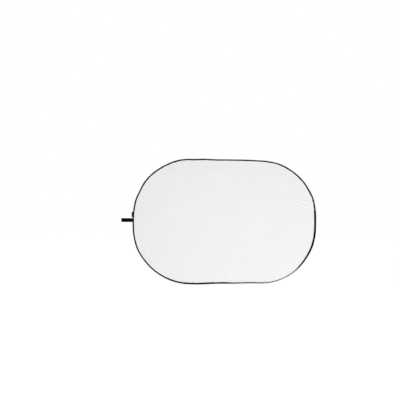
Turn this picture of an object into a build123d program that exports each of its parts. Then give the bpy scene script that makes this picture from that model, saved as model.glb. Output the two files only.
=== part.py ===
from build123d import *
import os
from math import asin, degrees, sqrt

# A collapsible two-sided reflector: a sprung steel hoop in a rounded oval, with a white cloth on
# the front (-Y) and a silver cloth on the back (+Y). It stands upright with its long axis along X.
# The origin is the middle of the lower rim's outer edge. The oval is cut at x = 0, where the
# front closes over itself, and each half has its own run of hoop, binding and cloths.

# ---- Outline of the rim's outer edge -------------------------------------------------------
LENGTH = 1200.0
HEIGHT = 813.0
CORNER_RADIUS = 373.0
END_RADIUS = 1500.0
CUT = 0.15  # each half ends this far from the fold line

CORNER_RISE = HEIGHT / 2 - CORNER_RADIUS
END_CENTRE = LENGTH / 2 - END_RADIUS
STRAIGHT = END_CENTRE + sqrt((END_RADIUS - CORNER_RADIUS) ** 2 - CORNER_RISE**2)
END_SWEEP = degrees(asin(CORNER_RISE / (END_RADIUS - CORNER_RADIUS)))
REACH = 2 * LENGTH  # larger than the whole object, for cutting

# ---- Sprung hoop: flat steel strip, standing on edge ---------------------------------------
HOOP_WIDTH = 6.0
HOOP_THICKNESS = 1.4
HOOP_INSET = 1.3
LAP_STEP = HOOP_THICKNESS + 0.05  # the lapped end lies this much further in
LAP_LENGTH = 64.0
JOGGLE_LENGTH = 14.0
JOINT_RISE = -12.0  # the hoop's joint is this far above the oval's centre
LAP_LOW = JOINT_RISE - LAP_LENGTH / 2
LAP_HIGH = JOINT_RISE + LAP_LENGTH / 2

FERRULE_LENGTH = 56.0
FERRULE_WALL = 0.4
FERRULE_PLAY = 0.05
WRAP_LENGTH = 72.0
WRAP_WALL = 0.12
WRAP_PLAY = 0.02
RIVET_RADIUS = 1.5
RIVET_PLAY = 0.02
RIVET_SPACING = 18.0

# ---- Sections across the rim: (distance in from the outer edge, distance off mid-plane) ----
BINDING_OUTSIDE = [(0.0, 3.6), (0.6, 4.25), (5.0, 4.25), (7.2, 1.1), (10.0, 1.0)]
BINDING_INSIDE = [(0.7, 3.65), (4.75, 3.65), (6.85, 0.42), (10.0, 0.38)]
TAPE_OUTSIDE = [(-0.66, 3.8), (0.3, 4.93), (5.35, 4.93), (7.55, 2.05), (10.5, 2.0), (11, 1), (13, 0.98)]
TAPE_INSIDE = [(-0.06, 3.65), (0.55, 4.33), (5.05, 4.33), (7.25, 1.45), (10.2, 1.4), (10.7, 0.4), (13, 0.38)]
TAPE_LENGTH = 184.0

# ---- Cloths --------------------------------------------------------------------------------
CLOTH_INSET = 7.0
CLOTH_NEAR = 0.03
CLOTH_THICKNESS = 0.32

# ---- Seams ---------------------------------------------------------------------------------
THREAD_WIDTH = 0.8
THREAD_HEIGHT = 0.25
SEAM_INSET = 8.5
SEAM_FACE = 1.07
TAPE_SEAM_INSET = 12.0
TAPE_SEAM_FACE = 1.0

# ---- Strap: webbing folded into a loop, on the left end ------------------------------------
WEBBING_WIDTH = 25.0
WEBBING_THICKNESS = 1.4
STRAP_REACH = 71.4
STRAP_RISE = 4.0
STRAP_AXIS_X = -LENGTH / 2 - WEBBING_THICKNESS - 0.2
FLARE_START = 34.0
EYE_RADIUS = 4.0
EYE_POINT_RADIUS = 0.1
TACK_PLACE = 11.0
TACK_LENGTH = 3.4
TACK_THREAD = 0.8
TACK_PITCH = 1.25
TACK_COUNT = 18

# ---- Side label: blank tape folded once, above the strap -----------------------------------
LABEL_HEIGHT = 34.0
LABEL_REACH = 6.4
LABEL_THICKNESS = 0.8
LABEL_SLIT = 0.1
LABEL_RISE = 41.0
LABEL_AXIS_X = -LENGTH / 2 - 0.26


# ---- Tools for the rim ---------------------------------------------------------------------
def rim_line(inset=0.0):
    """The right half of the oval, from the lower cut to the upper cut, inset from the edge."""
    half_height = HEIGHT / 2 - inset
    corner = CORNER_RADIUS - inset
    quarter = 90 - END_SWEEP
    low = Line((CUT, -half_height), (STRAIGHT, -half_height))
    low_corner = CenterArc((STRAIGHT, -CORNER_RISE), corner, -90, quarter)
    right_end = CenterArc((END_CENTRE, 0), END_RADIUS - inset, -END_SWEEP, 2 * END_SWEEP)
    high_corner = CenterArc((STRAIGHT, CORNER_RISE), corner, END_SWEEP, quarter)
    high = Line((STRAIGHT, half_height), (CUT, half_height))
    outline = low + low_corner + right_end + high_corner + high
    return (Plane.XZ * Pos(0, HEIGHT / 2) * outline).wire()


def along_rim(points):
    """Sweeps a closed section of (inset, off mid-plane) points round the right half."""
    start = Plane(origin=(CUT, 0, 0), x_dir=(0, 0, 1), z_dir=(1, 0, 0))
    return sweep(start * make_face(Polyline(*points, close=True)), path=rim_line())


def folded_section(outside, inside):
    """A tape folded over the rim: the contours of one side, mirrored to the other side."""
    side = outside + inside[::-1]
    return side + [(inset, -off) for inset, off in reversed(side)]


def box_section(inset, width, depth):
    """A rectangle that stands across the mid-plane, at an inset from the edge."""
    near, far, half = inset, inset + depth, width / 2
    return [(near, -half), (far, -half), (far, half), (near, half)]


def thread_section(inset, face):
    """A thread that lies on the back face of the rim."""
    half = THREAD_WIDTH / 2
    top = face + THREAD_HEIGHT
    return [(inset - half, face), (inset + half, face), (inset + half / 2, top), (inset - half / 2, top)]


def between(low, high):
    """All of the right end between two heights above the oval's centre."""
    middle = HEIGHT / 2 + (low + high) / 2
    return Pos(LENGTH / 2, 0, middle) * Box(LENGTH, HEIGHT, high - low)


def rim_point(inset, rise):
    """A point on the right end's arc, inset from the edge, at a height above the centre."""
    return (END_CENTRE + sqrt((END_RADIUS - inset) ** 2 - rise**2), HEIGHT / 2 + rise)


def to_left(part):
    return mirror(part, about=Plane.YZ)


# ---- Hoop and its joint --------------------------------------------------------------------
def hoop_strip(inset):
    return along_rim(box_section(inset, HOOP_WIDTH, HOOP_THICKNESS))


def joggle():
    """The slope that brings the lapped end back to the hoop's own line."""
    inside = HOOP_INSET + HOOP_THICKNESS
    top = LAP_HIGH + JOGGLE_LENGTH
    corners = [
        rim_point(HOOP_INSET + LAP_STEP, LAP_HIGH),
        rim_point(HOOP_INSET, top),
        rim_point(inside, top),
        rim_point(inside + LAP_STEP, LAP_HIGH),
    ]
    profile = Plane.XZ * make_face(Polyline(*corners, close=True))
    return extrude(profile, amount=HOOP_WIDTH / 2, both=True)


def rivets(radius):
    """Two flush pins through the ferrule and both hoop ends, or their holes."""
    cover = FERRULE_PLAY + FERRULE_WALL
    depth = LAP_STEP + HOOP_THICKNESS + 2 * cover
    pins = []
    for side in (-1, 1):
        x, z = rim_point(HOOP_INSET - cover, JOINT_RISE + side * RIVET_SPACING / 2)
        pins.append(Pos(x - depth / 2, 0, z) * Rot(0, 90, 0) * Cylinder(radius, depth))
    return pins


def hoop_right():
    """Two runs of strip, whose ends lie side by side in the joint."""
    strip = hoop_strip(HOOP_INSET)
    lower_run = strip & between(-HEIGHT, LAP_HIGH)
    upper_run = strip & between(LAP_HIGH + JOGGLE_LENGTH, HEIGHT)
    lapped_end = hoop_strip(HOOP_INSET + LAP_STEP) & between(LAP_LOW, LAP_HIGH)
    holes = rivets(RIVET_RADIUS + RIVET_PLAY)
    return [lower_run - holes, (upper_run + joggle() + lapped_end) - holes]


def sleeve(gap, wall, length):
    """A rectangular tube that clears the lapped ends by a gap all round."""
    inset = HOOP_INSET - gap
    width = HOOP_WIDTH + 2 * gap
    depth = LAP_STEP + HOOP_THICKNESS + 2 * gap
    outside = along_rim(box_section(inset - wall, width + 2 * wall, depth + 2 * wall))
    inside = along_rim(box_section(inset, width, depth))
    return (outside - inside) & between(JOINT_RISE - length / 2, JOINT_RISE + length / 2)


def ferrule():
    """The steel sleeve crimped over the lapped ends."""
    return sleeve(FERRULE_PLAY, FERRULE_WALL, FERRULE_LENGTH) - rivets(RIVET_RADIUS + RIVET_PLAY)


def shrink_wrap():
    """A thin sleeve that covers the ferrule and its edges."""
    return sleeve(FERRULE_PLAY + FERRULE_WALL + WRAP_PLAY, WRAP_WALL, WRAP_LENGTH)


# ---- Rim covers and cloths -----------------------------------------------------------------
def binding():
    """Tape folded over the hoop and over the cloths' edges."""
    return along_rim(folded_section(BINDING_OUTSIDE, BINDING_INSIDE))


def at_closing(part):
    """The stretch of a rim part that the closing tape takes up."""
    return part & between(JOINT_RISE - TAPE_LENGTH / 2, JOINT_RISE + TAPE_LENGTH / 2)


def closing_tape():
    """A second tape over the binding, where it was closed over the hoop's joint."""
    return at_closing(along_rim(folded_section(TAPE_OUTSIDE, TAPE_INSIDE)))


def cloth(side):
    """Half of one flat cloth, with its edge inside the binding; side -1 is the front."""
    edge = rim_line(CLOTH_INSET)
    outline = Wire([*edge.edges(), Edge.make_line(edge @ 1, edge @ 0)])
    sheet = extrude(Face(outline), amount=CLOTH_THICKNESS, dir=(0, side, 0))
    return Pos(0, side * CLOTH_NEAR, 0) * sheet


# ---- Seams ---------------------------------------------------------------------------------
def both_faces(part):
    return [part, mirror(part, about=Plane.XZ)]


def rim_seam():
    """A row of thread on each face, through the binding and the cloths."""
    return both_faces(along_rim(thread_section(SEAM_INSET, SEAM_FACE)))


def closing_seam():
    """A row of thread on each face of the closing tape."""
    return both_faces(at_closing(along_rim(thread_section(TAPE_SEAM_INSET, TAPE_SEAM_FACE))))


# ---- Strap and label, each flaring or folding out from its own upright axis ----------------
def tapering_round(start, start_radius, end, end_radius):
    """The outline round two circles on the X axis, drawn out towards -X."""
    first = Pos(-start, 0) * Circle(start_radius)
    last = Pos(-end, 0) * Circle(end_radius)
    return make_hull([*first.edges(), *last.edges()])


def strap_loop():
    """Webbing doubled on itself, sewn flat near the rim and open as an eye at its end."""
    ply = WEBBING_THICKNESS
    eye = STRAP_REACH - ply - EYE_RADIUS
    flat = tapering_round(0, ply, FLARE_START, ply)
    flare = tapering_round(FLARE_START, ply, eye, EYE_RADIUS + ply)
    opening = tapering_round(FLARE_START + ply, EYE_POINT_RADIUS, eye, EYE_RADIUS)
    loop = extrude(flat + flare - opening, amount=WEBBING_WIDTH / 2, both=True)
    return Pos(STRAP_AXIS_X, 0, HEIGHT / 2 + STRAP_RISE) * loop


def strap_bartack():
    """Short threads side by side across the doubled webbing, on both faces."""
    thread = Box(TACK_LENGTH, THREAD_HEIGHT, TACK_THREAD)
    x = STRAP_AXIS_X - TACK_PLACE
    y = WEBBING_THICKNESS + THREAD_HEIGHT / 2
    first = HEIGHT / 2 + STRAP_RISE - TACK_PITCH * (TACK_COUNT - 1) / 2
    rises = [first + TACK_PITCH * i for i in range(TACK_COUNT)]
    return [Pos(x, side * y, z) * thread for side in (-1, 1) for z in rises]


def side_label():
    """A blank tape folded once, with its cut ends towards the rim."""
    half = LABEL_THICKNESS / 2
    end = LABEL_REACH - half
    slit = tapering_round(2 * half, LABEL_SLIT / 2, end, LABEL_SLIT / 2)
    fold = extrude(tapering_round(0, half, end, half) - slit, amount=LABEL_HEIGHT / 2, both=True)
    return Pos(LABEL_AXIS_X, 0, HEIGHT / 2 + LABEL_RISE) * fold


# ---- One file for each sub-part ------------------------------------------------------------
def main():
    hoop = hoop_strip(HOOP_INSET)
    cover = binding()
    seam = rim_seam()
    white = cloth(-1)
    silver = cloth(1)
    subparts = {
        "hoop_left": [to_left(hoop)],
        "hoop_right": hoop_right(),
        "hoop_ferrule": [ferrule()],
        "ferrule_rivets": rivets(RIVET_RADIUS),
        "ferrule_shrink_wrap": [shrink_wrap()],
        "binding_left": [to_left(cover)],
        "binding_right": [cover],
        "closing_tape": [closing_tape()],
        "closing_tape_stitching": closing_seam(),
        "white_cloth_left": [to_left(white)],
        "white_cloth_right": [white],
        "silver_cloth_left": [to_left(silver)],
        "silver_cloth_right": [silver],
        "stitching_left": [to_left(row) for row in seam],
        "stitching_right": seam,
        "strap_loop": [strap_loop()],
        "strap_bartack": strap_bartack(),
        "side_label": [side_label()],
    }
    os.makedirs("parts", exist_ok=True)
    for name, pieces in subparts.items():
        export_step(Compound(children=pieces), f"parts/{name}.step")


main()
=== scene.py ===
import math

import bpy
import numpy as np
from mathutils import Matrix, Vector
from mathutils.geometry import delaunay_2d_cdt


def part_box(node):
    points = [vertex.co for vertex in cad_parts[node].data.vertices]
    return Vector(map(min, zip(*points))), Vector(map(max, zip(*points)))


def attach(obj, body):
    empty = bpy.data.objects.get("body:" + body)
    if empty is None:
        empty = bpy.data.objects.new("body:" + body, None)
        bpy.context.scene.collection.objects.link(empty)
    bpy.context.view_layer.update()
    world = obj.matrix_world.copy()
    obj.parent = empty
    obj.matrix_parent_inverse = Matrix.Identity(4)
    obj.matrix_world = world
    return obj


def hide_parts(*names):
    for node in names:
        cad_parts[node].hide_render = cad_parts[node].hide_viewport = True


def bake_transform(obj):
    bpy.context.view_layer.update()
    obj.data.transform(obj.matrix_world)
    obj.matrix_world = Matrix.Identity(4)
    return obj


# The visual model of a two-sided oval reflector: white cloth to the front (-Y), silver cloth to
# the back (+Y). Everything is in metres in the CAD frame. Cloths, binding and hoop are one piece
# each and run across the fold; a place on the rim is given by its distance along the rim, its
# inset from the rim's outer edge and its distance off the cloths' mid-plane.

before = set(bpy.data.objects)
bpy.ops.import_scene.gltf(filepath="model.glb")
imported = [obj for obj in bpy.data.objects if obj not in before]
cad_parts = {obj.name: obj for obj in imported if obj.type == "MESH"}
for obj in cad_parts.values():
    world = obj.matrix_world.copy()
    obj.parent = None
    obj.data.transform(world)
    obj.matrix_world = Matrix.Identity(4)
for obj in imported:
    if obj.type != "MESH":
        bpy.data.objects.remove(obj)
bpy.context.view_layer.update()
MM = 0.001
TURN = 2 * math.pi
LAY = "lay"  # the attribute that holds where a point lies on its flat cloth

# ---- Sizes ----
RIM_LOW, RIM_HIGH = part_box("binding_right")
HALF_LENGTH = RIM_HIGH[0]
HALF_HEIGHT = (RIM_HIGH[2] - RIM_LOW[2]) / 2
CENTRE_Z = (RIM_HIGH[2] + RIM_LOW[2]) / 2
CORNER_RADIUS = 0.373
END_RADIUS = 1.5
JOINT_RISE = -0.012
BEND_REACH = 0.33  # given as the start and end, this far each side of the middle, of pieces across the fold

CORNER_RISE = HALF_HEIGHT - CORNER_RADIUS
END_CENTRE = HALF_LENGTH - END_RADIUS
END_SWEEP = math.asin(CORNER_RISE / (END_RADIUS - CORNER_RADIUS))
STRAIGHT = END_CENTRE + (END_RADIUS - CORNER_RADIUS) * math.cos(END_SWEEP)
CORNER_RUN = CORNER_RADIUS * (math.pi / 2 - END_SWEEP)
END_RUN = END_RADIUS * END_SWEEP
QUARTER = STRAIGHT + CORNER_RUN + END_RUN
AROUND = 4 * QUARTER


# ---- The rim's line ----
def rim(along):
    """Points (x, z about the centre) and outward normals, at distances along the rim's outer edge.

    The distance starts at the middle of the lower side and goes towards +X first.
    """
    along = np.mod(np.asarray(along, float), AROUND)
    left = along > AROUND / 2
    run = np.where(left, AROUND - along, along)
    upper = run > QUARTER
    run = np.where(upper, 2 * QUARTER - run, run)
    corner = np.clip(run - STRAIGHT, 0, CORNER_RUN) / CORNER_RADIUS
    end = np.clip(run - STRAIGHT - CORNER_RUN, 0, None) / END_RADIUS
    angle = -math.pi / 2 + corner + end
    on_end = run > STRAIGHT + CORNER_RUN
    x = np.minimum(run, STRAIGHT) + CORNER_RADIUS * np.cos(angle)
    z = -CORNER_RISE + CORNER_RADIUS * np.sin(angle)
    x = np.where(on_end, END_CENTRE + END_RADIUS * np.cos(angle), x)
    z = np.where(on_end, END_RADIUS * np.sin(angle), z)
    normal = np.stack([np.cos(angle), np.sin(angle)], -1)
    point = np.stack([x, z], -1)
    flip = np.stack([np.where(left, -1.0, 1.0), np.where(upper, -1.0, 1.0)], -1)
    return point * flip, normal * flip


RIM_STEPS = 2400
RIM_ALONG = np.arange(RIM_STEPS) * AROUND / RIM_STEPS
RIM_POINTS, RIM_NORMALS = rim(RIM_ALONG)
RIM_ANGLES = np.arctan2(RIM_POINTS[:, 1], RIM_POINTS[:, 0])
RIM_REACHES = np.hypot(RIM_POINTS[:, 0], RIM_POINTS[:, 1])
ANGLE_ORDER = np.argsort(RIM_ANGLES)

# Where the real hoop is out of its ideal oval: (direction from the centre in degrees, half
# width in degrees, distance outwards in mm).
DENTS = [
    (-64, 13, -5.0),
    (-127, 12, 3.6),
    (-112, 11, 6.2),
    (-162, 5, 2.4),
    (-33, 8, 1.2),
    (-15, 5, 2.2),
    (15, 4.5, 2.6),
    (38, 6, -1.8),
    (57, 10, -5.4),
    (108, 6, 3.4),
    (126, 9, 2.4),
    (138, 8, -2.4),
    (161, 5, -4.6),
    (171, 4, -1.8),
]


def settle(points):
    """Moves points as the slightly uneven hoop does: fully at the rim, and less towards the centre."""
    x, z = points[:, 0], points[:, 2] - CENTRE_Z
    angle, reach = np.arctan2(z, x), np.hypot(x, z)
    edge = np.interp(angle, RIM_ANGLES[ANGLE_ORDER], RIM_REACHES[ANGLE_ORDER], period=TURN)
    out = np.zeros(len(points))
    for direction, width, amount in DENTS:
        away = np.angle(np.exp(1j * (angle - math.radians(direction))))
        out += amount * MM * np.exp(-((away / math.radians(width)) ** 2))
    out *= np.clip(reach / edge, 0, 1) ** 3
    moved = points.copy()
    moved[:, 0] += out * np.cos(angle)
    moved[:, 2] += out * np.sin(angle)
    return moved


def settled_rim(along, inset, off):
    """Points in the frame at (distance along the rim, inset, off mid-plane), with the hoop's dents."""
    along, inset, off = np.broadcast_arrays(along, inset, off)
    point, normal = rim(along)
    flat = point - normal * inset[..., None]
    points = np.stack([flat[..., 0], off, flat[..., 1] + CENTRE_Z], -1)
    return settle(points.reshape(-1, 3)).reshape(points.shape)


def bump_at(along, centre, width):
    """1 at a place on the rim, falling smoothly to 0 at about twice the width."""
    away = np.mod(np.asarray(along) - centre + AROUND / 2, AROUND) - AROUND / 2
    return np.exp(-((away / width) ** 2))


def waves(along, seed, count, lowest, highest):
    """A smooth uneven wave that closes round the rim, about 1 high."""
    draw = np.random.default_rng(seed)
    total = np.zeros(np.shape(along))
    for turns in draw.integers(lowest, highest, count):
        total = total + np.sin(TURN * turns * np.asarray(along) / AROUND + draw.uniform(0, TURN))
    return total / math.sqrt(count)


def smoothstep(value, low, high):
    t = np.clip((value - low) / (high - low), 0, 1)
    return t * t * (3 - 2 * t)


# ---- Meshes ----
def new_mesh(name, points, faces, lay=None, extras=None):
    """A smooth-shaded mesh piece. lay is each point's place on the flat cloth, in metres, and
    extras are more numbers for each point, by name."""
    mesh = bpy.data.meshes.new(name)
    mesh.from_pydata(np.asarray(points).reshape(-1, 3).tolist(), [], [list(f) for f in faces])
    mesh.polygons.foreach_set("use_smooth", np.ones(len(mesh.polygons), bool))
    if lay is not None:
        layer = mesh.attributes.new(LAY, "FLOAT_VECTOR", "POINT")
        layer.data.foreach_set("vector", np.asarray(lay, np.float32).ravel())
    for key, values in (extras or {}).items():
        layer = mesh.attributes.new(key, "FLOAT", "POINT")
        layer.data.foreach_set("value", np.asarray(values, np.float32).ravel())
    mesh.validate()
    piece = bpy.data.objects.new(name, mesh)
    bpy.context.scene.collection.objects.link(piece)
    return piece


def tube_faces(rows, columns, around):
    """Quads over rows of section points, whose ends also meet if it goes all the way around."""
    i = np.arange(rows if around else rows - 1)[:, None]
    j = np.arange(columns)[None, :]
    a = i * columns + j
    b = i * columns + (j + 1) % columns
    c = (i + 1) % rows * columns + (j + 1) % columns
    d = (i + 1) % rows * columns + j
    return np.stack([a, b, c, d], -1).reshape(-1, 4)


def swept(name, rows, lay, around=True):
    """A skin over rows of section points: closed round the rim, or with its two ends capped."""
    count, size = rows.shape[:2]
    faces = tube_faces(count, size, around).tolist()
    if not around:
        faces.append(list(range(size))[::-1])
        faces.append([(count - 1) * size + i for i in range(size)])
    return new_mesh(name, rows, faces, lay)


def rounded(corners, reach, steps=3):
    """A closed polygon with each corner replaced by a short curve."""
    corners = np.asarray(corners, float)
    before = np.roll(corners, 1, 0) - corners
    after = np.roll(corners, -1, 0) - corners
    out = []
    for point, back, on in zip(corners, before, after):
        start = point + back * min(reach / np.hypot(*back), 0.45)
        stop = point + on * min(reach / np.hypot(*on), 0.45)
        for t in np.linspace(0, 1, steps):
            out.append((1 - t) ** 2 * start + 2 * t * (1 - t) * point + t * t * stop)
    return np.array(out)


def finish_piece(piece, material, slot, *bodies, start=None, end=None, replaces=()):
    """Gives a piece its material, hides the CAD parts it replaces, and rides it on a body, or with two bodies
    leaves it where it is.
    """
    piece.data.materials.append(material)
    if replaces:
        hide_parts(*replaces)
    if len(bodies) == 2:
        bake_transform(piece)
    else:
        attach(piece, bodies[0])


def across_fold(piece, material, slot, *nodes):
    """A piece that runs right round the reflector, across the fold."""
    start, end = (-BEND_REACH, 0, CENTRE_Z), (BEND_REACH, 0, CENTRE_Z)
    finish_piece(piece, material, slot, "left_half", "right_half", start=start, end=end, replaces=nodes)


# ---- Materials ----
def add_node(tree, kind, output, inputs=(), **settings):
    """Adds a node with its settings, and returns an output socket of it by name or number."""
    node = tree.nodes.new(kind)
    for key, value in settings.items():
        setattr(node, key, value)
    for key, value in dict(inputs).items():
        if isinstance(value, bpy.types.NodeSocket):
            tree.links.new(value, node.inputs[key])
        else:
            node.inputs[key].default_value = value
    return node.outputs[output]


class Shader:
    """A node material with one Principled shader, built by short calls."""

    def __init__(self, name, color, roughness, **settings):
        self.material = bpy.data.materials.new(name)
        self.material.use_nodes = True
        self.tree = self.material.node_tree
        self.shader = self.tree.nodes["Principled BSDF"]
        self.material.diffuse_color = (*color, 1)
        self.set("Base Color", (*color, 1))
        self.set("Roughness", roughness)
        for key, value in settings.items():
            self.set(key.replace("_", " ").title().replace("Ior", "IOR"), value)

    def set(self, socket, value):
        target = self.shader.inputs[socket]
        if isinstance(value, bpy.types.NodeSocket):
            self.tree.links.new(value, target)
        else:
            target.default_value = value

    def add(self, kind, output, inputs=(), **settings):
        return add_node(self.tree, kind, output, inputs, **settings)

    def lay(self):
        return self.add("ShaderNodeAttribute", "Vector", attribute_name=LAY)

    def value(self, name):
        return self.add("ShaderNodeAttribute", "Fac", attribute_name=name)

    def place(self):
        return self.add("ShaderNodeTexCoord", "Object")

    def math(self, operation, a, b=0.0):
        return self.add("ShaderNodeMath", 0, {0: a, 1: b}, operation=operation)

    def part(self, vector, axis):
        return self.add("ShaderNodeSeparateXYZ", axis, {0: vector})

    def stretch(self, vector, scale, turn=0.0):
        inputs = {"Vector": vector, "Scale": scale, "Rotation": (0, 0, turn)}
        return self.add("ShaderNodeMapping", 0, inputs)

    def noise(self, vector, size, detail=3.0, roughness=0.55):
        """Noise from 0 to 1 whose features are about size metres."""
        inputs = {"Vector": vector, "Scale": 1 / size, "Detail": detail, "Roughness": roughness}
        return self.add("ShaderNodeTexNoise", "Fac", inputs)

    def remap(self, value, low, high, to_low, to_high):
        inputs = {"Value": value, "From Min": low, "From Max": high, "To Min": to_low, "To Max": to_high}
        return self.add("ShaderNodeMapRange", 0, inputs)

    def mix(self, share, a, b):
        inputs = {"Factor": share, 6: (*a, 1) if isinstance(a, tuple) else a}
        inputs[7] = (*b, 1) if isinstance(b, tuple) else b
        return self.add("ShaderNodeMix", 2, inputs, data_type="RGBA")

    def ribs(self, coordinate, pitch):
        """A ridge of height 0 to 1 for every pitch metres of a coordinate."""
        wave = self.math("SINE", self.math("MULTIPLY", coordinate, TURN / pitch))
        return self.remap(wave, -1, 1, 0, 1)

    def weave(self, vector, warp, weft):
        """Over-and-under threads: warp and weft are their pitches in metres."""
        one = self.math("SINE", self.math("MULTIPLY", self.part(vector, 0), TURN / warp))
        other = self.math("SINE", self.math("MULTIPLY", self.part(vector, 1), TURN / weft))
        return self.math("MULTIPLY", one, other)

    def bump(self, height, distance, strength=1.0, under=None):
        inputs = {"Height": height, "Distance": distance, "Strength": strength}
        if under is not None:
            inputs["Normal"] = under
        return self.add("ShaderNodeBump", 0, inputs)


def woven_tape(name, color, pitch, rib_depth, sheen):
    """A narrow woven tape: cross ribs, crossing threads and uneven wear."""
    s = Shader(name, color, 0.62, sheen_weight=sheen, sheen_roughness=0.4, specular_ior_level=0.04)
    lay = s.lay()
    threads = s.weave(lay, pitch, pitch * 0.8)
    ribs = s.ribs(s.part(lay, 0), pitch)
    cloud = s.noise(lay, 0.05, 4)
    fuzz = s.noise(lay, 0.0006, 2)
    light = tuple(2.5 * c + 0.001 for c in color)
    shade = s.mix(s.remap(cloud, 0.35, 0.75, 0, 0.45), color, light)
    # Painted shade: the hollows between the ribs are darkened towards this colour.
    dark = tuple(0.45 * c for c in color)
    s.set("Base Color", s.mix(s.remap(ribs, 0, 0.6, 0.5, 0), shade, dark))
    s.set("Roughness", s.remap(s.math("ADD", cloud, fuzz), 0.6, 1.4, 0.5, 0.78))
    height = s.math("ADD", s.math("MULTIPLY", ribs, 0.6), s.math("MULTIPLY", threads, 0.25))
    height = s.math("ADD", height, s.math("MULTIPLY", fuzz, 0.5))
    s.set("Normal", s.bump(height, rib_depth))
    return s.material


def thread_material(name, color):
    """Twisted thread: slanting plies and a little fluff."""
    s = Shader(name, color, 0.5, sheen_weight=0.08, specular_ior_level=0.3)
    lay = s.lay()
    slant = s.math("ADD", s.part(lay, 0), s.math("MULTIPLY", s.part(lay, 1), 0.7))
    plies = s.ribs(slant, 0.0006)
    fluff = s.noise(lay, 0.002, 3)
    light = tuple(2.2 * c + 0.01 for c in color)
    s.set("Base Color", s.mix(s.remap(fluff, 0.3, 0.8, 0, 0.6), color, light))
    s.set("Roughness", s.remap(fluff, 0.2, 0.8, 0.45, 0.7))
    s.set("Normal", s.bump(plies, 0.0001))
    return s.material


def white_cloth_material():
    """Matt white nylon: fine weave, slubs and faint clouding."""
    s = Shader("white_nylon", (0.86, 0.86, 0.86), 0.72, sheen_weight=0.1, specular_ior_level=0.25)
    lay = s.lay()
    weave = s.weave(lay, 0.0007, 0.0007)
    cloud = s.noise(lay, 0.16, 5)
    slub = s.noise(s.stretch(lay, (0.08, 1, 1)), 0.0015, 2)
    shade = s.mix(s.remap(cloud, 0.3, 0.7, 0, 1), (0.845, 0.845, 0.844), (0.865, 0.865, 0.865))
    s.set("Base Color", shade)
    s.set("Roughness", s.remap(slub, 0.2, 0.8, 0.66, 0.8))
    fine = s.bump(s.math("ADD", weave, slub), 0.00006, 0.5)
    s.set("Normal", s.bump(s.noise(lay, 0.02, 4), 0.0002, 0.35, under=fine))
    return s.material


def silver_cloth_material():
    """Silver-coated nylon: satin metal and fine weave, with painted shade in the crease valleys, a
    painted dark reflection over the crumpled stretch, and a painted highlight on the ridges."""
    s = Shader("silver_nylon", (0.5, 0.505, 0.51), 0.42, metallic=0.8, specular_ior_level=0.5)
    lay = s.lay()
    weave = s.weave(lay, 0.0008, 0.0008)
    cloud = s.noise(lay, 0.09, 6)
    streak = s.noise(s.stretch(lay, (1, 0.12, 1), 0.6), 0.01, 4)
    crease = s.value("crease")
    base = s.mix(s.remap(cloud, 0.3, 0.7, 0, 1), (0.2, 0.202, 0.205), (0.27, 0.273, 0.276))
    # Painted dark reflection: a patchy darkening over the crumpled stretch, low on the left.
    low = s.math("SUBTRACT", s.math("MULTIPLY", s.part(lay, 0), 0.15), s.part(lay, 1))
    beside = s.remap(s.part(lay, 0), -0.25, -0.05, 0, 1)
    crumpled = s.math("MULTIPLY", s.remap(low, 0.22, 0.34, 0, 1), beside)
    patchy = s.remap(s.noise(s.stretch(lay, (0.4, 1, 1)), 0.03, 4), 0.35, 0.65, 0.35, 1)
    base = s.mix(s.math("MULTIPLY", crumpled, patchy), base, (0.06, 0.06, 0.062))
    # Painted shade: the crease valleys are darkened almost to black.
    base = s.mix(s.remap(crease, 0.465, 0.1, 0, 0.95), base, (0.015, 0.015, 0.016))
    # Painted highlight: the ridges are lightened.
    base = s.mix(s.remap(crease, 0.56, 1, 0, 0.65), base, (0.46, 0.465, 0.47))
    s.set("Base Color", base)
    s.set("Roughness", s.remap(s.math("ADD", cloud, streak), 0.6, 1.4, 0.36, 0.52))
    fine = s.bump(weave, 0.00008, 0.4)
    crinkle = s.math("ADD", s.noise(lay, 0.016, 6), s.math("MULTIPLY", streak, 0.6))
    s.set("Normal", s.bump(crinkle, 0.0022, 0.6, under=fine))
    return s.material


def metal_material(name, color, roughness, along, grain):
    """Rolled or plated metal: fine grain along one axis, and stains."""
    s = Shader(name, color, roughness, metallic=1.0)
    place = s.lay() if along is None else s.place()
    squeeze = [0.04 if axis == (along or 0) else 1 for axis in range(3)]
    lines = s.noise(s.stretch(place, squeeze), grain, 4)
    stain = s.noise(place, 0.02, 5)
    dark = tuple(0.55 * c for c in color)
    s.set("Base Color", s.mix(s.remap(stain, 0.45, 0.75, 0, 0.7), color, dark))
    s.set("Roughness", s.remap(s.math("ADD", lines, stain), 0.6, 1.4, roughness - 0.1, roughness + 0.15))
    s.set("Normal", s.bump(lines, 0.00004, 0.6))
    return s.material


def wrap_material():
    """Black heat-shrink sleeve: glossy, with a soft unevenness and small scuffs."""
    black = (0.012, 0.012, 0.013)
    s = Shader("shrink_wrap", black, 0.3, coat_weight=0.2)
    place = s.place()
    swell = s.noise(place, 0.004, 2)
    scuff = s.noise(place, 0.0015, 5)
    s.set("Base Color", s.mix(s.remap(scuff, 0.55, 0.8, 0, 0.8), black, (0.06, 0.06, 0.06)))
    s.set("Roughness", s.remap(scuff, 0.3, 0.8, 0.24, 0.5))
    s.set("Normal", s.bump(swell, 0.0002, 0.5))
    return s.material


# ---- Stage, camera and lights ----
VIEW_WIDTH = 2.614  # metres across the view, in the reflector's plane
DISC_RIGHT, DISC_DOWN = 0.1588, 0.14083  # the reflector's centre from the middle of the view, in metres
ROLL = math.radians(0.52)
FLOOR_Z, FLOOR_REACH = -0.9, 30
STUDIO_STRENGTH = 0.55
STUDIO_LEVELS = {"From Min": 0, "From Max": 0.7, "To Min": 0.92, "To Max": 0.3}  # by height


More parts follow.
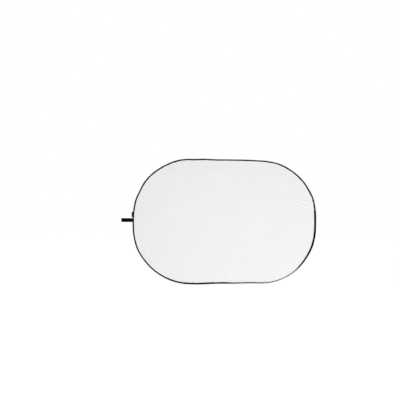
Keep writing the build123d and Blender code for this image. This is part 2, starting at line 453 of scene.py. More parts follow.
def make_camera():
    data = bpy.data.cameras.new("camera")
    data.lens, data.sensor_width = 85, 36
    distance = VIEW_WIDTH * data.lens / data.sensor_width
    right = DISC_RIGHT * math.cos(ROLL) + DISC_DOWN * math.sin(ROLL)
    down = DISC_DOWN * math.cos(ROLL) - DISC_RIGHT * math.sin(ROLL)
    camera = bpy.data.objects.new("camera", data)
    camera.location = (-right, -distance, CENTRE_Z + down)
    camera.rotation_euler = (math.pi / 2, 0, 0)
    camera.rotation_euler.rotate_axis("Z", ROLL)
    bpy.context.scene.collection.objects.link(camera)
    bpy.context.scene.camera = camera
    bpy.context.scene.view_settings.view_transform = "Standard"


def make_stage():
    """A plain white floor, well below the held reflector."""
    corners = [(x * FLOOR_REACH, y * FLOOR_REACH, FLOOR_Z) for x, y in ((-1, -1), (1, -1), (1, 1), (-1, 1))]
    floor = new_mesh("floor", corners, [(0, 1, 2, 3)])
    s = Shader("floor_white", (0.93, 0.93, 0.93), 0.9, emission_color=(1, 1, 1, 1), emission_strength=0.8)
    s.set("Roughness", s.remap(s.noise(s.place(), 0.5), 0.3, 0.7, 0.85, 0.95))
    floor.data.materials.append(s.material)


def make_world():
    """White to the camera; a soft studio to the cloth: bright at eye level, dim overhead."""
    world = bpy.data.worlds.new("studio")
    bpy.context.scene.world = world
    world.use_nodes = True
    tree = world.node_tree
    place = add_node(tree, "ShaderNodeTexCoord", "Generated")
    height = add_node(tree, "ShaderNodeSeparateXYZ", "Z", {0: place})
    level = add_node(tree, "ShaderNodeMapRange", 0, {"Value": height, **STUDIO_LEVELS})
    studio = add_node(tree, "ShaderNodeBackground", 0, {"Color": level, "Strength": STUDIO_STRENGTH})
    backdrop = tree.nodes["Background"]
    backdrop.inputs["Color"].default_value = (1, 1, 1, 1)
    seen = add_node(tree, "ShaderNodeLightPath", "Is Camera Ray")
    mixed = add_node(tree, "ShaderNodeMixShader", 0, {0: seen, 1: studio, 2: backdrop.outputs[0]})
    tree.links.new(mixed, tree.nodes["World Output"].inputs["Surface"])


def softbox(name, place, size, power):
    """A large square light that faces the reflector's centre."""
    data = bpy.data.lights.new(name, "AREA")
    data.size, data.energy = size, power
    light = bpy.data.objects.new(name, data)
    light.location = place
    aim = Vector((0, 0, CENTRE_Z)) - light.location
    light.rotation_euler = aim.to_track_quat("-Z", "Y").to_euler()
    bpy.context.scene.collection.objects.link(light)


def make_lights():
    make_world()
    softbox("front_key", (2.6, -1.7, -0.2), 1.0, 8)
    softbox("front_fill", (0.15, -2.5, 0.3), 1.2, 18.5)
    softbox("back_key", (-2.6, 1.3, -0.3), 0.8, 34)
    softbox("back_rim", (3.2, 2.4, 1.0), 1.4, 22)


# ---- Hoop ----
HOOP_WIDTH, HOOP_THICKNESS, HOOP_INSET = 6 * MM, 1.4 * MM, 1.3 * MM
LAP_STEP = HOOP_THICKNESS + 0.05 * MM
LAP_HALF = 0.032
JOGGLE = 0.014


def along_at_rise(rise):
    """The distance along the rim of a point on the right end, at a height above the centre."""
    return QUARTER + END_RADIUS * math.asin(rise / END_RADIUS)


def make_hoop():
    """One strip round the whole rim, whose upper end steps inwards to lie on the lower one."""
    high = along_at_rise(JOINT_RISE + LAP_HALF)
    low = along_at_rise(JOINT_RISE - LAP_HALF)
    along = np.linspace(low, high + AROUND, 1500)[:, None]
    step = LAP_STEP * smoothstep(high + JOGGLE - along, 0, JOGGLE)
    half = HOOP_WIDTH / 2
    corners = [(0, -half), (HOOP_THICKNESS, -half), (HOOP_THICKNESS, half), (0, half)]
    section = rounded(corners, 0.3 * MM)
    inset = HOOP_INSET + step + section[:, 0]
    along, off = np.broadcast_to(along, inset.shape), np.broadcast_to(section[:, 1], inset.shape)
    rows, lay = settled_rim(along, inset, off), np.stack([along, off, inset], -1)
    hoop = swept("sprung_hoop", rows, lay, around=False)
    steel = metal_material("spring_steel", (0.2, 0.215, 0.24), 0.34, None, 0.0008)
    across_fold(hoop, steel, "spring_steel", "hoop_left", "hoop_right")


# ---- Binding ----
# Half sections: (inset, distance off mid-plane) in mm, from the sewn lip out to the edge.
TAPE_OUTSIDE = [(10.0, 1.0), (7.2, 1.1), (5.0, 4.2), (0.6, 4.2), (0.0, 3.6)]
TAPE_INSIDE = [(10.0, 0.4), (6.85, 0.44), (4.75, 3.6), (0.7, 3.6)]
NARROWEST = 0.5  # the front lip's reach where the tape slipped towards the back, as a share


def front_reach(along):
    """How far in the tape reaches on the front, as a share of its usual reach."""
    along = np.mod(along, AROUND)
    slipping = 0.45 * smoothstep(along, 0.01, 0.09) + 0.55 * smoothstep(along, STRAIGHT, STRAIGHT + 0.1)
    slipped = slipping * (1 - smoothstep(along, STRAIGHT + 0.25, STRAIGHT + 0.31))
    slightly = bump_at(along, 2 * QUARTER - STRAIGHT * 0.2, 0.3) + bump_at(along, 3.35 * QUARTER, 0.2)
    wider = 0.34 * bump_at(along, QUARTER - 0.165, 0.075) + 0.14 * bump_at(along, AROUND - 0.1, 0.12)
    return 1 + wider - (1 - NARROWEST) * slipped - 0.1 * slightly + 0.035 * waves(along, 3, 6, 20, 70)


def fold_section(outside, inside, reach):
    """The closed, rounded section of a tape folded over the rim, in metres, front side first."""
    ring = [(u, -y) for u, y in outside] + [(u, y) for u, y in outside[::-1]]
    ring += [(u, y) for u, y in inside] + [(u, -y) for u, y in inside[::-1]]
    return rounded(np.array(ring) * MM, reach)


def tape_rows(along, section, lip, reach_share):
    """Section rows for a folded tape: the front narrows by reach_share and the lips lift a little."""
    inset, off = np.broadcast_to(section[:, 0], (len(along), len(section))), section[:, 1]
    front = (off < 0)[None, :]
    inset = np.where(front, inset * reach_share[:, None], inset)
    weight = smoothstep(section[:, 0], lip - 1.6 * MM, lip)[None, :]
    flutter = np.where(front, waves(along, 11, 9, 90, 260)[:, None], waves(along, 12, 9, 90, 260)[:, None])
    swell = np.where(front, waves(along, 13, 7, 20, 90)[:, None], waves(along, 14, 7, 20, 90)[:, None])
    grown = off + np.sign(off) * weight * MM * (0.16 + 0.16 * flutter)
    grown = grown * (1 + 0.02 * swell)
    return inset + weight * 0.25 * MM * swell, grown


def girth(section):
    """Distance round a section, for the tape's own weave."""
    steps = np.hypot(*np.diff(section, axis=0).T)
    return np.concatenate([[0], np.cumsum(steps)])


def make_binding():
    section = fold_section(TAPE_OUTSIDE, TAPE_INSIDE, 0.9 * MM)
    along = np.arange(1000) * AROUND / 1000
    inset, off = tape_rows(along, section, 10 * MM, front_reach(along))
    rows = settled_rim(along[:, None], inset, off)
    lay = np.stack(np.broadcast_arrays(along[:, None], girth(section)[None, :], 0.0), -1)
    binding = swept("rim_binding", rows, lay)
    nylon = woven_tape("binding_nylon", (0.006, 0.006, 0.0064), 0.0009, 0.00016, 0.03)
    across_fold(binding, nylon, "binding_tape", "binding_left", "binding_right")


# ---- Closing tape ----
CLOSING_OUTSIDE = [(13.0, 0.98), (11.2, 1.1), (10.5, 1.95), (7.55, 2.0), (5.35, 4.85)]
CLOSING_OUTSIDE += [(0.3, 4.85), (-0.66, 3.8)]
CLOSING_INSIDE = [(13.0, 0.4), (10.8, 0.45), (10.2, 1.45), (7.25, 1.5), (5.05, 4.33)]
CLOSING_INSIDE += [(0.55, 4.33), (-0.06, 3.65)]
CLOSING_HALF = 0.092


def closing_run(count):
    low, high = along_at_rise(JOINT_RISE) - CLOSING_HALF, along_at_rise(JOINT_RISE) + CLOSING_HALF
    return np.linspace(low, high, count)


def make_closing_tape():
    section = fold_section(CLOSING_OUTSIDE, CLOSING_INSIDE, 0.7 * MM)
    along = closing_run(90)
    inset, off = tape_rows(along, section, 13 * MM, np.ones(len(along)))
    rows = settled_rim(along[:, None], inset, off)
    lay = np.stack(np.broadcast_arrays(along[:, None], girth(section)[None, :], 0.0), -1)
    tape = swept("closing_tape_folded", rows, lay, around=False)
    grosgrain = woven_tape("closing_grosgrain", (0.005, 0.005, 0.0054), 0.0013, 0.0003, 0.03)
    finish_piece(tape, grosgrain, "closing_tape", "right_half", replaces=["closing_tape"])


# ---- Stitches ----
STITCH_PITCH = 4 * MM
STITCH_LENGTH = 3.2 * MM
THREAD_RADIUS = 0.33 * MM
STITCH_SHAPE = [(-0.5, -0.9, 0.5), (-0.42, 0.1, 0.9), (0, 0.55, 1.0), (0.42, 0.1, 0.9), (0.5, -0.9, 0.5)]


def stitches(name, starts, ends, outward):
    """Separate stitches from starts to ends, each a bent thread that dips in at both ends."""
    span = ends - starts
    length = np.linalg.norm(span, axis=1, keepdims=True)
    ahead = span / length
    side = np.cross(outward, ahead)
    ring = [(math.cos(TURN * k / 6), math.sin(TURN * k / 6)) for k in range(6)]
    rows, lays = [], []
    for place, rise, girth_share in STITCH_SHAPE:
        middle = (starts + ends) / 2 + span * place + outward * rise * THREAD_RADIUS
        for c, q in ring:
            thick = THREAD_RADIUS * girth_share
            rows.append(middle + side * c * thick + outward * q * thick * 0.8)
            along = length[:, 0]
            lays.append(np.stack([along * place, np.full(len(starts), c * thick), along * 0], -1))
    points = np.stack(rows, 1)
    one = tube_faces(len(STITCH_SHAPE), len(ring), False)
    size = len(rows)
    faces = (one[None] + np.arange(len(starts))[:, None, None] * size).reshape(-1, 4).tolist()
    for first in np.arange(len(starts)) * size:
        faces.append([first + i for i in range(len(ring))][::-1])
        faces.append([first + size - len(ring) + i for i in range(len(ring))])
    return new_mesh(name, points, faces, np.stack(lays, 1))


def rim_stitches(name, low, high, inset, off, narrowing=False):
    """A row of stitches along the rim on each face; narrowing keeps it on the binding's front lip."""
    count = int((high - low) / STITCH_PITCH)
    middles = low + (np.arange(count) + 0.5) * (high - low) / count
    lean = 0.12 * MM
    starts, ends, outward = [], [], []
    for side in (-1, 1):
        share = front_reach(middles) if narrowing and side < 0 else np.ones(count)
        wander = 0.1 * MM * waves(middles, 21 + side, 8, 60, 200)
        for place, sign in ((starts, -1), (ends, 1)):
            at = inset * share + wander + sign * lean
            place.append(settled_rim(middles + sign * STITCH_LENGTH / 2, at, side * off))
        outward.append(np.tile((0, side, 0), (count, 1)))
    return stitches(name, np.concatenate(starts), np.concatenate(ends), np.concatenate(outward).astype(float))


def make_stitching():
    thread = thread_material("black_thread", (0.014, 0.014, 0.015))
    seam = rim_stitches("rim_stitches", 0, AROUND, 8.5 * MM, 1.06 * MM, narrowing=True)
    across_fold(seam, thread, "black_thread", "stitching_left", "stitching_right")
    closing = rim_stitches("closing_stitches", *closing_run(2), 12.1 * MM, 1.05 * MM)
    finish_piece(closing, thread, "black_thread", "right_half", replaces=["closing_tape_stitching"])
    return thread


# ---- Cloths ----
CLOTH_EDGE = 7 * MM
CLOTH_THICKNESS = 0.28 * MM
FACE_OFF = 0.34 * MM  # the cloths' outer faces are this far off mid-plane
RING_STEPS = [0, 2 * MM, 4 * MM, 7 * MM, 11 * MM]


def inset_of(x, z):
    """How far points (z about the centre) are inside the rim's outer edge."""
    x, z = np.abs(x), np.abs(z)
    on_end = np.arctan2(z, x - END_CENTRE) < END_SWEEP
    corner = CORNER_RADIUS - np.hypot(x - STRAIGHT, np.maximum(z - CORNER_RISE, 0))
    end = END_RADIUS - np.hypot(x - END_CENTRE, z)
    beside = np.where(on_end, end, corner)
    return np.where(x <= STRAIGHT, np.minimum(HALF_HEIGHT - z, CORNER_RADIUS + STRAIGHT - x), beside)


def cloth_mesh(spacing, edge_share):
    """Flat points (x, z about the centre), triangles and border count of a cloth.

    The points are rings along the edge and a lattice inside; edge_share(along) is how far in the
    edge starts, as a share of CLOTH_EDGE.
    """
    count = int(AROUND / spacing)
    along = np.arange(count) * AROUND / count
    edge = CLOTH_EDGE * edge_share(along)
    rings = [rim(along)[0] - rim(along)[1] * (edge + step)[:, None] for step in RING_STEPS]
    row = spacing * math.sqrt(3) / 2
    rows = np.arange(-int(HALF_HEIGHT / row), int(HALF_HEIGHT / row) + 1)
    columns = np.arange(-int(HALF_LENGTH / spacing), int(HALF_LENGTH / spacing) + 1)
    x = (columns[None, :] + 0.5 * (rows[:, None] % 2)) * spacing
    z = np.broadcast_to(rows[:, None] * row, x.shape)
    x, z = x.ravel(), z.ravel()
    inside = inset_of(x, z) > CLOTH_EDGE + RING_STEPS[-1] + 0.6 * spacing
    flat = np.concatenate(rings + [np.stack([x[inside], z[inside]], -1)])
    border = [(i, (i + 1) % count) for i in range(count)]
    made = delaunay_2d_cdt([Vector(p) for p in flat], border, [], 1, 1e-7)
    points = np.array([tuple(p) for p in made[0]])
    return points, np.array(made[2]), count


def double(outside, triangles, count, shift):
    """A closed sheet: the outer face, the same face moved by shift, and a narrow edge."""
    size = len(outside)
    other = outside + np.array(shift)
    rim_faces = [(i, (i + 1) % count, size + (i + 1) % count, size + i) for i in range(count)]
    faces = triangles.tolist() + (triangles[:, ::-1] + size).tolist() + rim_faces
    return np.concatenate([outside, other]), faces


# ---- Slack in the cloths ----
# A cloth with more length than room is worked out as a thin elastic plate (von Karman's) on a soft
# ground that sets how wide its wrinkles are. Its motion is followed, damped, until it has settled:
# on a coarse grid first, then on a fine one. Lengths in here are in grid steps.
GRIDS = [(10 * MM, 500), (5 * MM, 800)]  # (grid step, number of time steps)
STIFFNESS = 0.0004  # bending stiffness as a share of the in-plane stiffness
TIME_STEP, DAMPING, LIGHTNESS = 0.5, 0.06, 4.0
FIRST_WAVES, FINER_SHARE = 0.03, 0.6  # the uneven start, and its share on the finer grid
CREASE_STIFFER, SHARP_CREASE = 12, 0.05  # a set crease this sharp is so many times stiffer
HALF_ROOT = math.sqrt(0.5)
ALL, FORE, AFT = slice(None), slice(0, -1), slice(1, None)
# The four ways that threads run between grid points: from, to, direction (x, z), length, strength.
THREADS = [
    ((ALL, FORE), (ALL, AFT), (1, 0), 1, 1.0),
    ((FORE, ALL), (AFT, ALL), (0, 1), 1, 1.0),
    ((FORE, FORE), (AFT, AFT), (HALF_ROOT, HALF_ROOT), 2 * HALF_ROOT, 0.7),
    ((FORE, AFT), (AFT, FORE), (-HALF_ROOT, HALF_ROOT), 2 * HALF_ROOT, 0.7),
]


def lattice(step):
    """Grid points (x, z about the centre) over the whole reflector."""
    reach_x, reach_z = int(HALF_LENGTH / step) + 1, int(HALF_HEIGHT / step) + 1
    return np.meshgrid(np.arange(-reach_x, reach_x + 1) * step, np.arange(-reach_z, reach_z + 1) * step)


def resample(grid, shape):
    """The same field on a finer or coarser grid of the same extent."""
    rows, columns = np.linspace(0, grid.shape[0] - 1, shape[0]), np.linspace(0, grid.shape[1] - 1, shape[1])
    return look_up(grid, *np.meshgrid(rows, columns, indexing="ij")).astype(np.float32)


def look_up(grid, row, column):
    """Smoothly interpolated values (Catmull-Rom) at fractional rows and columns."""
    total = 0.0
    r, c = np.floor(row).astype(int), np.floor(column).astype(int)
    for i, row_share in enumerate(spline_shares(row - r)):
        for j, column_share in enumerate(spline_shares(column - c)):
            rows = np.clip(r + i - 1, 0, grid.shape[0] - 1)
            columns = np.clip(c + j - 1, 0, grid.shape[1] - 1)
            total = total + row_share * column_share * grid[rows, columns]
    return total


def spline_shares(t):
    return [
        (-t + 2 * t**2 - t**3) / 2,
        (2 - 5 * t**2 + 3 * t**3) / 2,
        (t + 4 * t**2 - 3 * t**3) / 2,
        (-(t**2) + t**3) / 2,
    ]


def patches(x, size, seed):
    """Smooth noise with patches of a size in metres, as high as 1 on average, on any grid."""
    coarse = lattice(GRIDS[0][0])[0].shape
    spread = size / GRIDS[0][0]
    rows, columns = np.fft.fftfreq(coarse[0])[:, None], np.fft.rfftfreq(coarse[1])[None, :]
    keep = np.exp(-0.5 * (TURN * spread) ** 2 * (rows**2 + columns**2))
    noisy = np.random.default_rng(seed).standard_normal(coarse)
    smooth = np.fft.irfft2(np.fft.rfft2(noisy) * keep, coarse)
    return resample(smooth / smooth.std(), x.shape)


def curving(height):
    """The sum of the differences to each point's four neighbours."""
    out = -4 * height
    out[1:] += height[:-1]
    out[:-1] += height[1:]
    out[:, 1:] += height[:, :-1]
    out[:, :-1] += height[:, 1:]
    return out


def settle_cloth(state, slack, stiffness, ground, creased, free, wall, steps):
    """Follows the cloth's motion and returns its state: its height and its moves along x and z.

    The cloth bends towards the creased curvature, is held where free is 0, and can't go below the
    wall.
    """
    height, along_x, along_z = state
    speed = [np.zeros_like(part) for part in state]
    slack_x, slack_z, slack_xz = slack
    for _ in range(steps):
        force_y = -curving((curving(height) - creased) * stiffness) - ground * height
        force_x, force_z = np.zeros_like(height), np.zeros_like(height)
        for start, stop, (dx, dz), length, strength in THREADS:
            slope = (height[stop] - height[start]) / length
            spare = slack_x * dx * dx + slack_z * dz * dz + 2 * slack_xz * dx * dz
            pull = 0.5 * slope * slope - (spare[start] + spare[stop]) / 2
            pull += (along_x[stop] - along_x[start]) * (dx / length)
            pull += (along_z[stop] - along_z[start]) * (dz / length)
            pull *= strength
            for force, share in ((force_y, slope), (force_x, dx), (force_z, dz)):
                force[start] += pull * share
                force[stop] -= pull * share
        for part, force, ease in zip(range(3), (force_y, force_x, force_z), (LIGHTNESS, 1, 1)):
            speed[part] = (speed[part] + force * (TIME_STEP * ease)) * (1 - DAMPING) * free
            state[part] += speed[part] * TIME_STEP
        np.maximum(height, wall, out=height)
    return state


def wrinkled(describe, room):
    """Heights in metres over the finest grid, and that grid's step.

    describe(x, z) gives the slack (x, z, xz), the wrinkles' width in metres and the set creases.
    room(x, z) is how far the cloth stands off the one behind it, in metres.
    """
    state = None
    for step, steps in GRIDS:
        x, z = lattice(step)
        free = (inset_of(x, z) > held_inset(x, z)).astype(np.float32)
        slack, width, creases = describe(x, z)
        slack = [part.astype(np.float32) for part in slack]
        creased = crease_turns(x, z, step, creases)
        start = [FIRST_WAVES * patches(x, 0.015, 5) * free, 0 * free, 0 * free]
        if state is not None:
            grown = [resample(part, x.shape) * (GRIDS[0][0] / step) for part in state]
            start = [FINER_SHARE * one + other for one, other in zip(start, grown)]
        folded = 1 + CREASE_STIFFER * np.clip(np.abs(creased) / SHARP_CREASE, 0, 1)
        stiffness = (STIFFNESS * folded).astype(np.float32)
        ground = (STIFFNESS * (TURN * step / width) ** 4).astype(np.float32)
        wall = (-room(x, z) / step).astype(np.float32)
        state = settle_cloth(start, slack, stiffness, ground, creased.astype(np.float32), free, wall, steps)
    return (state[0] * step + room(x, z)).astype(float), step


def held_inset(x, z):
    """The cloths are held this far in from the rim's edge, and farther in under the closing tape."""
    beside = (x > 0) * smoothstep(CLOSING_HALF + 8 * MM - np.abs(z - JOINT_RISE), 0, 8 * MM)
    return 10 * MM + 4 * MM * beside


def heights_at(grid, step, x, z):
    reach_z, reach_x = (grid.shape[0] - 1) / 2, (grid.shape[1] - 1) / 2
    return look_up(grid, z / step + reach_z, x / step + reach_x)


def crease_turns(x, z, step, creases):
    """The curvature that set creases ask for: a turn over a narrow line, fading at its far end."""
    total = np.zeros_like(x)
    for (x0, z0), (x1, z1), turn, width in creases:
        span = math.hypot(x1 - x0, z1 - z0)
        ax, az = (x1 - x0) / span, (z1 - z0) / span
        t = ((x - x0) * ax + (z - z0) * az) / span
        wander = 6 * MM * span * np.sin(5 * math.pi * (0.5 + span) * t)
        across = (z - z0) * ax - (x - x0) * az + wander
        ends = smoothstep(t, -0.02, 0.06) * (1 - smoothstep(t, 0.6, 1.05))
        spread = max(width, 0.8 * step)
        line = np.exp(-0.5 * (across / spread) ** 2) / (spread * math.sqrt(TURN))
        total -= math.radians(turn) * ends * line * step
    return total


# Creases set in the silver cloth by folding it away: (from, to), turn in degrees (ridges above 0,
# valleys below) and width in metres. The longest ones fan out from the strap.
SILVER_CREASES = [
    ((-0.597, -0.010), (-0.280, -0.172), -75, 0.006),
    ((-0.597, -0.028), (-0.330, -0.188), 48, 0.006),
    ((-0.597, 0.002), (-0.430, -0.078), 34, 0.005),
    ((-0.590, -0.045), (-0.500, -0.090), -40, 0.005),
    ((-0.590, 0.015), (-0.500, -0.035), -20, 0.005),
    ((-0.315, -0.265), (-0.268, -0.095), 24, 0.004),
    ((-0.468, -0.275), (-0.470, -0.110), 20, 0.004),
    ((-0.447, -0.240), (-0.445, -0.120), 14, 0.004),
    ((-0.545, -0.200), (-0.562, -0.100), 20, 0.004),
    ((-0.360, -0.310), (-0.200, -0.370), -26, 0.007),
    ((-0.470, 0.030), (-0.050, 0.024), -12, 0.004),
    ((-0.420, 0.000), (0.000, -0.010), -8, 0.004),
    ((-0.590, 0.095), (-0.380, 0.120), -16, 0.005),
    ((-0.560, 0.185), (-0.400, 0.150), -14, 0.005),
    ((-0.160, -0.380), (-0.070, -0.280), -22, 0.005),
    ((-0.100, -0.320), (-0.050, -0.260), 18, 0.005),
    ((0.597, 0.020), (0.260, 0.150), -28, 0.007),
    ((0.595, -0.050), (0.330, -0.140), 20, 0.006),
    ((0.120, 0.390), (0.020, 0.160), -16, 0.006),
    ((0.420, 0.270), (0.220, 0.100), 14, 0.006),
    ((-0.080, 0.395), (-0.020, 0.220), 14, 0.005),
    ((0.020, -0.190), (0.330, -0.300), -16, 0.006),
]


def scattered(seed, count, low, high, heading, spread, lengths, turns):
    """Creases strewn over a rectangle, at headings in degrees from the X axis."""
    draw = np.random.default_rng(seed)
    starts = draw.uniform(low, high, (count, 2))
    angles, spans = np.radians(draw.normal(heading, spread, count)), draw.uniform(*lengths, count)
    turned = draw.uniform(*turns, count) * draw.choice((-1, 1), count)
    stops = starts + np.stack([np.cos(angles), np.sin(angles)], -1) * spans[:, None]
    return [(a, b, turn, 0.004) for a, b, turn in zip(starts, stops, turned)]


SILVER_CREASES += scattered(31, 60, (-0.08, -0.39), (0.40, -0.24), 0, 32, (0.03, 0.11), (18, 45))
SILVER_CREASES += scattered(32, 90, (-0.55, -0.36), (0.50, 0.36), 0, 70, (0.04, 0.18), (4, 11))


def silver_slack(x, z):
    """Slack across at the upper ends, and every way along the lower side; the rest is near taut."""
    rippled = smoothstep(z, 0.06, 0.15) * (1 - smoothstep(x, -0.15, 0.2))
    rippled = rippled + 0.6 * smoothstep(z, 0.16, 0.3) * smoothstep(x, 0.0, 0.3)
    crumpled = smoothstep(-z + 0.15 * x, 0.22, 0.34) * smoothstep(x, -0.25, -0.08)
    loose = -0.002 + 0.005 * smoothstep(patches(x, 0.16, 9), -0.2, 1.6)
    slack_x = loose + 0.005 * crumpled * (1 + patches(x, 0.045, 11)) - 0.003 * rippled
    slack_z = loose + 0.014 * rippled * (1 + 0.3 * patches(x, 0.05, 12))
    slack_z = slack_z + 0.012 * crumpled * (1 + 0.7 * patches(x, 0.05, 13))
    slack_xz = 0.0025 * patches(x, 0.1, 2) + 0.006 * crumpled * patches(x, 0.07, 14)
    width = 0.068 + 0.016 * patches(x, 0.1, 3) - 0.045 * np.clip(rippled, 0, 1) - 0.03 * crumpled
    return (slack_x, slack_z, slack_xz), np.clip(width, 0.022, 0.12), SILVER_CREASES


def silver_room(x, z):
    return 3.2 * MM * smoothstep(inset_of(x, z), held_inset(x, z) - 1 * MM, 0.07)


# Where the seam pulls faint puckers into the white cloth: middle (x, z), reach, the puckers' lean
# from the X axis in degrees, and how much slack they take up.
WHITE_PUCKERS = [
    ((-0.130, -0.370), 0.022, 66, 0.032),
    ((-0.045, -0.366), 0.027, 58, 0.048),
    ((0.010, -0.372), 0.020, 70, 0.030),
    ((0.075, -0.374), 0.020, 48, 0.034),
    ((0.125, -0.368), 0.026, 62, 0.048),
    ((0.190, -0.372), 0.024, 52, 0.038),
    ((-0.240, -0.215), 0.032, 86, 0.014),
    ((-0.215, -0.310), 0.026, 92, 0.012),
    ((-0.035, -0.240), 0.030, 88, 0.011),
    ((-0.485, -0.170), 0.036, 102, 0.026),
    ((-0.430, -0.265), 0.036, 96, 0.026),
    ((0.515, 0.110), 0.036, -28, 0.034),
    ((0.440, 0.220), 0.030, 48, 0.016),
]


def white_slack(x, z):
    """The white cloth is taut but for its puckers and a little slack along parts of its rim."""
    near = smoothstep(0.12 - inset_of(x, z), 0, 0.1)
    slack_x = slack_z = -0.001 + 0.0025 * near * smoothstep(patches(x, 0.07, 21), -0.1, 1.4)
    slack_xz = 0.0006 * patches(x, 0.1, 22)
    for (middle_x, middle_z), reach, lean, amount in WHITE_PUCKERS:
        weight = amount * np.exp(-((x - middle_x) ** 2 + (z - middle_z) ** 2) / reach**2)
        over_x, over_z = -math.sin(math.radians(lean)), math.cos(math.radians(lean))
        slack_x = slack_x + weight * over_x**2
        slack_z = slack_z + weight * over_z**2
        slack_xz = slack_xz + weight * over_x * over_z
    width = 0.03 + 0.006 * patches(x, 0.1, 23)
    return (slack_x, slack_z, slack_xz), np.clip(width, 0.022, 0.06), []


def white_room(x, z):
    return 1.1 * MM * smoothstep(inset_of(x, z), held_inset(x, z) - 1 * MM, 0.09)


# ---- Cloth pieces ----
SPACING, DRAFT_SPACING = 5.6 * MM, 9 * MM  # between a cloth's points
CREASE_RANGE = 2.6 * MM  # the curving, valley to ridge, that the crease attribute covers


def make_cloth(name, side, edge_share, describe, room, material):
    """A cloth of two faces, wrinkled; side is -1 for the front and 1 for the back."""
    flat, triangles, count = cloth_mesh(SPACING, edge_share)
    x, z = flat.T
    grid, step = wrinkled(describe, room)
    height = heights_at(grid, step, x, z)
    points = settle(np.stack([x, side * (FACE_OFF + height), z + CENTRE_Z], -1))
    triangles = triangles if side < 0 else triangles[:, ::-1]
    points, faces = double(points, triangles, count, (0, -side * CLOTH_THICKNESS, 0))
    lay = np.tile(np.stack([x, z, 0 * x], -1), (2, 1))
    bend = np.clip(0.5 - heights_at(curving(grid), step, x, z) / CREASE_RANGE, 0, 1)
    cloth = new_mesh(name, points, faces, lay, {"crease": np.tile(bend, 2)})
    across_fold(cloth, material, name, name + "_left", name + "_right")


def make_cloths():
    white, silver = white_cloth_material(), silver_cloth_material()
    make_cloth("white_cloth", -1, front_reach, white_slack, white_room, white)
    make_cloth("silver_cloth", 1, np.ones_like, silver_slack, silver_room, silver)


# ---- Strap and label ----
STRAP_LOW, STRAP_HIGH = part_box("strap_loop")
STRAP_Z = (STRAP_LOW[2] + STRAP_HIGH[2]) / 2
STRAP_END = STRAP_LOW[0]
WEBBING_THICKNESS = 1.35 * MM
RIB_PITCH = 1.7 * MM
PLY_OFF = WEBBING_THICKNESS / 2 + 0.03 * MM  # the middle of each ply is this far off mid-plane
TACK_STITCHES = 20
LABEL_LOW, LABEL_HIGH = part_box("side_label")


def even_path(corners, spacing):
    """A smooth open path through a few (x, y) points, evenly divided."""
    corners = np.asarray(corners, float)
    for _ in range(4):
        cut = corners[:-1] * 0.75 + corners[1:] * 0.25
        other = corners[:-1] * 0.25 + corners[1:] * 0.75
        inner = np.stack([cut, other], 1).reshape(-1, 2)
        corners = np.concatenate([corners[:1], inner[1:-1], corners[-1:]])
    run = np.concatenate([[0], np.cumsum(np.hypot(*np.diff(corners, axis=0).T))])
    at = np.linspace(0, run[-1], max(int(run[-1] / spacing), 8))
    return np.stack([np.interp(at, run, corners[:, k]) for k in (0, 1)], -1), at


def ribbon(name, corners, z_low, z_high, thickness, spacing, ribs=0.0):
    """A woven band on edge: its side view follows a path in the XY plane, its width is along Z."""
    path, at = even_path(corners, spacing)
    ahead = np.gradient(path, axis=0)
    ahead /= np.hypot(*ahead.T)[:, None]
    side = np.stack([-ahead[:, 1], ahead[:, 0]], -1)
    half, mid = (z_high - z_low) / 2, (z_high + z_low) / 2
    corner = [(-half, -thickness / 2), (half, -thickness / 2), (half, thickness / 2), (-half, thickness / 2)]
    section = rounded(corner, thickness * 0.45)
    extra = np.linspace(-half * 0.9, half * 0.9, 9)
    low = [(e, -thickness / 2) for e in extra]
    high = [(e, thickness / 2) for e in extra[::-1]]
    order = np.concatenate([section[:3], low, section[3:9], high, section[9:]])
    selvedge = 0.08 * (np.abs(order[None, :, 0]) > half * 0.86)
    swell = 1 + ribs * np.sin(TURN * at[:, None] / RIB_PITCH) + selvedge
    off = order[None, :, 1] * swell
    x = path[:, None, 0] + side[:, None, 0] * off
    y = path[:, None, 1] + side[:, None, 1] * off
    z = np.broadcast_to(mid + order[None, :, 0], x.shape)
    lay = np.stack(np.broadcast_arrays(at[:, None], order[None, :, 0], off), -1)
    rows = settle(np.stack([x, y, z], -1).reshape(-1, 3)).reshape(*x.shape, 3)
    return swept(name, rows, lay, around=False)


def make_strap():
    """Webbing doubled flat near the rim and open as an eye at its end."""
    eye = 4.6 * MM
    root, end = -HALF_LENGTH + 5 * MM, STRAP_END + WEBBING_THICKNESS / 2
    upper = [(root, PLY_OFF), (-HALF_LENGTH - 10 * MM, PLY_OFF), (-HALF_LENGTH - 33 * MM, PLY_OFF)]
    upper += [(end + 22 * MM, eye * 0.75), (end + 9 * MM, eye * 1.05), (end, eye * 0.95), (end, 0)]
    corners = upper + [(x, -y) for x, y in upper[-2::-1]]
    strap = ribbon("strap_webbing", corners, STRAP_LOW[2], STRAP_HIGH[2], WEBBING_THICKNESS, 0.5 * MM, 0.1)
    webbing = woven_tape("strap_webbing", (0.0015, 0.0015, 0.0017), RIB_PITCH, 0.0005, 0.01)
    start, stop = (-HALF_LENGTH + 3 * MM, 0, STRAP_Z), (-HALF_LENGTH - 9 * MM, 0, STRAP_Z)
    ends = {"start": start, "end": stop, "replaces": ["strap_loop"]}
    finish_piece(strap, webbing, "webbing", "left_half", "strap", **ends)


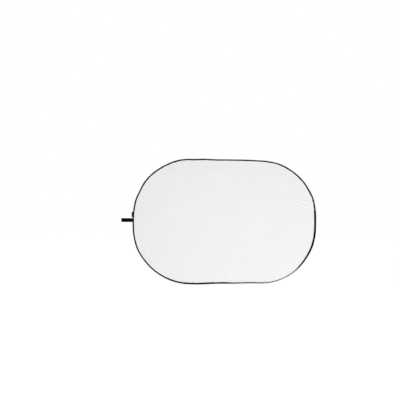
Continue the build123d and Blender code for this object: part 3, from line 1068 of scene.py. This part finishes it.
def make_strap_tack(thread):
    """Close stitches on each face of the strap, through both plies, a little way out from the rim."""
    low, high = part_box("strap_bartack")
    z = np.linspace(low[2] + MM, high[2] - MM, TACK_STITCHES)
    starts, ends, outward = [], [], []
    for side in (-1, 1):
        y = np.full(TACK_STITCHES, side * (2 * PLY_OFF + 0.12 * MM))
        starts.append(np.stack([np.full(TACK_STITCHES, low[0]), y, z - 0.3 * MM], -1))
        ends.append(np.stack([np.full(TACK_STITCHES, high[0]), y, z + 0.3 * MM], -1))
        outward.append(np.tile((0.0, side, 0.0), (TACK_STITCHES, 1)))
    points = [settle(np.concatenate(p)) for p in (starts, ends)]
    tack = stitches("strap_tack", *points, np.concatenate(outward))
    finish_piece(tack, thread, "black_thread", "strap", replaces=["strap_bartack"])


def make_label():
    """A blank satin tape folded once beside the strap."""
    ply = 0.2 * MM
    end = LABEL_LOW[0] + ply
    upper = [(-HALF_LENGTH + 5 * MM, ply * 1.1), (-HALF_LENGTH - 5 * MM, ply * 1.6)]
    upper += [(end + 1.5 * MM, ply * 2.6), (end, ply * 1.8), (end, 0)]
    corners = upper + [(x, -y) for x, y in upper[-2::-1]]
    label = ribbon("blank_side_label", corners, LABEL_LOW[2], LABEL_HIGH[2], 0.32 * MM, 0.5 * MM)
    satin = woven_tape("label_satin", (0.013, 0.013, 0.014), 0.0005, 0.00008, 0.15)
    middle = (LABEL_LOW[2] + LABEL_HIGH[2]) / 2
    start, stop = (-HALF_LENGTH + 1 * MM, 0, middle), (-HALF_LENGTH - 4 * MM, 0, middle)
    ends = {"start": start, "end": stop, "replaces": ["side_label"]}
    finish_piece(label, satin, "label_tape", "left_half", "label", **ends)


# ---- CAD pieces that stay ----
def finish_cad_pieces():
    steel = metal_material("zinc_plated_steel", (0.6, 0.6, 0.58), 0.36, 2, 0.0006)
    rivet = metal_material("rivet_steel", (0.7, 0.69, 0.67), 0.3, 1, 0.0004)
    finishes = {"hoop_ferrule": steel, "ferrule_rivets": rivet, "ferrule_shrink_wrap": wrap_material()}
    for node, material in finishes.items():
        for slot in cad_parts[node].material_slots:
            slot.material = material


def main():
    make_camera()
    make_stage()
    make_lights()
    make_hoop()
    make_binding()
    make_closing_tape()
    thread = make_stitching()
    make_cloths()
    make_strap()
    make_strap_tack(thread)
    make_label()
    finish_cad_pieces()


main()
